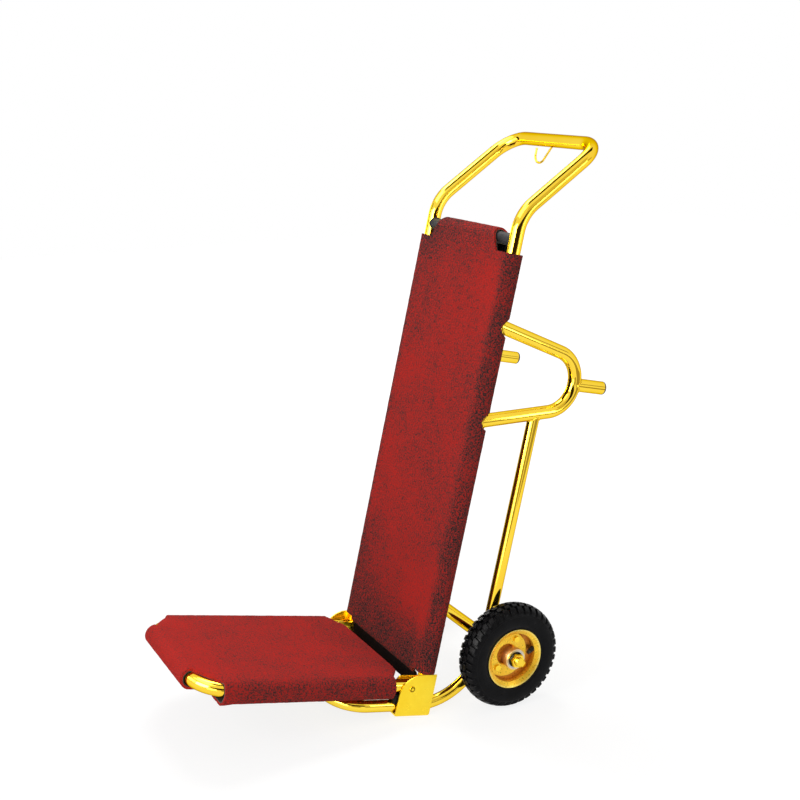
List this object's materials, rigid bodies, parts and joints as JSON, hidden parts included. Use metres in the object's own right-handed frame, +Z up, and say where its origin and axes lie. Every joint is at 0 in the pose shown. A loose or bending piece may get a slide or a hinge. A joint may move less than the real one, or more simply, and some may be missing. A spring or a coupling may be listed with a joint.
{
  "type": "luggage trolley",
  "caption": "Two-wheel luggage trolley with a tall carpeted back, a folding carpeted platform, a bent tube handle, side loops with rear pegs and pneumatic wheels.",
  "frame": {"origin": "on the floor, on the middle plane, midway between the platform's front and the rear plugs", "axes": "+Z up, -Y to the front where the platform is, +X to the left of the person behind the handle"},
  "size_m": [0.464, 0.8306, 1.0321],
  "materials": {
    "gold_tube": "polished gold-coloured plating",
    "gold_sheet": "satin gold-coloured plating",
    "gold_rim": "gold enamel",
    "black_paint": "black paint over the plating, under the carpet",
    "steel": "plain",
    "tyre": "matt",
    "black_rubber": "matt",
    "black_plastic": "moulded",
    "red_carpet": "needle-punched pile on a black backing"
  },
  "bodies": {
    "frame": {"main_frame_tube": "gold_tube", "top_cross_bar": "black_paint", "lower_cross_bar": "black_paint", "base_tube": "gold_tube", "side_loop_left": "gold_tube", "side_loop_right": "gold_tube", "rear_peg_left": "gold_tube", "rear_peg_right": "gold_tube", "peg_plug_left": "black_plastic", "peg_plug_right": "black_plastic", "hinge_bracket_left": "gold_sheet", "hinge_bracket_right": "gold_sheet", "pivot_pins": "gold_sheet", "stop_pad_left": "black_rubber", "stop_pad_right": "black_rubber", "axle_tube": "gold_tube", "axle_rod": "steel", "axle_collars": "steel", "bearing_spacers": "steel", "axle_washers": "steel", "axle_nuts": "gold_tube", "bearing_inner_rings_left": "steel", "bearing_inner_rings_right": "steel", "garment_hook": "gold_tube", "back_carpet": "red_carpet", "back_carpet_screws": "steel"},
    "platform": {"platform_tube": "gold_tube", "platform_cross_bars": "gold_tube", "platform_carpet": "red_carpet", "platform_carpet_screws": "steel", "pivot_bushes": "steel"},
    "left_wheel": {"tyre_left": "tyre", "inner_tube_left": "black_rubber", "rim_outer_left": "gold_rim", "rim_inner_left": "gold_rim", "hub_sleeve_left": "steel", "rim_bolts_left": "gold_tube", "rim_nuts_left": "gold_tube", "bearing_outer_rings_left": "steel", "bearing_balls_left": "steel", "bearing_seals_left": "black_rubber", "valve_stem_left": "black_rubber", "valve_cap_left": "black_plastic"},
    "right_wheel": {"tyre_right": "tyre", "inner_tube_right": "black_rubber", "rim_outer_right": "gold_rim", "rim_inner_right": "gold_rim", "hub_sleeve_right": "steel", "rim_bolts_right": "gold_tube", "rim_nuts_right": "gold_tube", "bearing_outer_rings_right": "steel", "bearing_balls_right": "steel", "bearing_seals_right": "black_rubber", "valve_stem_right": "black_rubber", "valve_cap_right": "black_plastic"}
  },
  "joints": [
    {"name": "platform_fold", "type": "hinge", "parent": "frame", "child": "platform", "pos_m": [0, -0.00247, 0.06042], "axis": [-1, 0, 0], "range_deg": [0, 73]},
    {"name": "left_wheel_spin", "type": "hinge", "parent": "frame", "child": "left_wheel", "pos_m": [0, 0.18388, 0.1], "axis": [1, 0, 0], "continuous": true},
    {"name": "right_wheel_spin", "type": "hinge", "parent": "frame", "child": "right_wheel", "pos_m": [0, 0.18388, 0.1], "axis": [1, 0, 0], "continuous": true}
  ]
}
